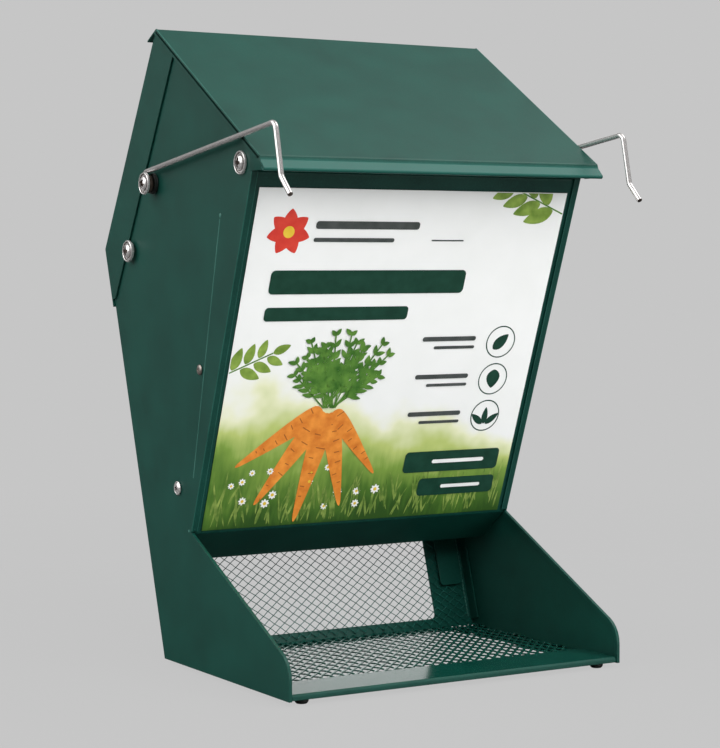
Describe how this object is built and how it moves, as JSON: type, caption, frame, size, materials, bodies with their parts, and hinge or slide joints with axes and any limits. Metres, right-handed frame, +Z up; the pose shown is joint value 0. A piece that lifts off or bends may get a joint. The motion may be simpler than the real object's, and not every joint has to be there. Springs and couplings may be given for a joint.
{
  "type": "rabbit feeder",
  "caption": "Folded sheet-metal hopper feeder with a sloping front, an open netted trough, a hinged pitched lid and swinging wire hooks at its sides",
  "frame": {"origin": "on the ground, under the middle of the box round the whole feeder", "axes": "X to the right along the trough's width, Y to the rear away from the trough's opening, Z up"},
  "size_m": [0.2166, 0.2202, 0.3385],
  "materials": {
    "powder_coat": "satin powder coat, dark green",
    "net_coat": "satin powder coat, dark green, on punched and drawn net",
    "bright_steel": "bright zinc-plated steel",
    "black_rubber": "matt",
    "label_film": "printed film with a soft sheen"
  },
  "bodies": {
    "housing": {"left_side_panel": "powder_coat", "right_side_panel": "powder_coat", "front_panel": "powder_coat", "rear_cover": "powder_coat", "lower_back_panel": "powder_coat", "trough_strip": "powder_coat", "left_net_clip": "powder_coat", "right_net_clip": "powder_coat", "left_side_rivet": "powder_coat", "right_side_rivet": "powder_coat", "floor_net": "net_coat", "back_net": "net_coat", "left_lid_screw": "bright_steel", "right_lid_screw": "bright_steel", "left_lid_nut": "bright_steel", "right_lid_nut": "bright_steel", "left_hook_screw": "bright_steel", "right_hook_screw": "bright_steel", "left_hook_nut": "bright_steel", "right_hook_nut": "bright_steel", "left_cover_washer": "bright_steel", "right_cover_washer": "bright_steel", "left_cover_screw": "bright_steel", "right_cover_screw": "bright_steel", "left_cover_nut": "bright_steel", "right_cover_nut": "bright_steel", "left_throat_screw": "bright_steel", "right_throat_screw": "bright_steel", "left_hook_spacer": "black_rubber", "right_hook_spacer": "black_rubber", "left_front_foot": "black_rubber", "right_front_foot": "black_rubber", "left_rear_foot": "black_rubber", "right_rear_foot": "black_rubber", "front_label": "label_film"},
    "lid": {"lid": "powder_coat", "left_lid_ear": "powder_coat", "right_lid_ear": "powder_coat"},
    "left_hook": {"left_hook": "bright_steel"},
    "right_hook": {"right_hook": "bright_steel"}
  },
  "joints": [
    {"name": "lid_hinge", "type": "hinge", "parent": "housing", "child": "lid", "pos_m": [0, -0.05242, 0.26397], "axis": [1, 0, 0], "range_deg": [0, 71]},
    {"name": "left_hook_swing", "type": "hinge", "parent": "housing", "child": "left_hook", "pos_m": [-0.104, 0.04753, 0.25707], "axis": [-1, 0, 0], "range_deg": [-2, 200]},
    {"name": "right_hook_swing", "type": "hinge", "parent": "housing", "child": "right_hook", "pos_m": [0.104, 0.04753, 0.25707], "axis": [-1, 0, 0], "range_deg": [-2, 200]}
  ]
}
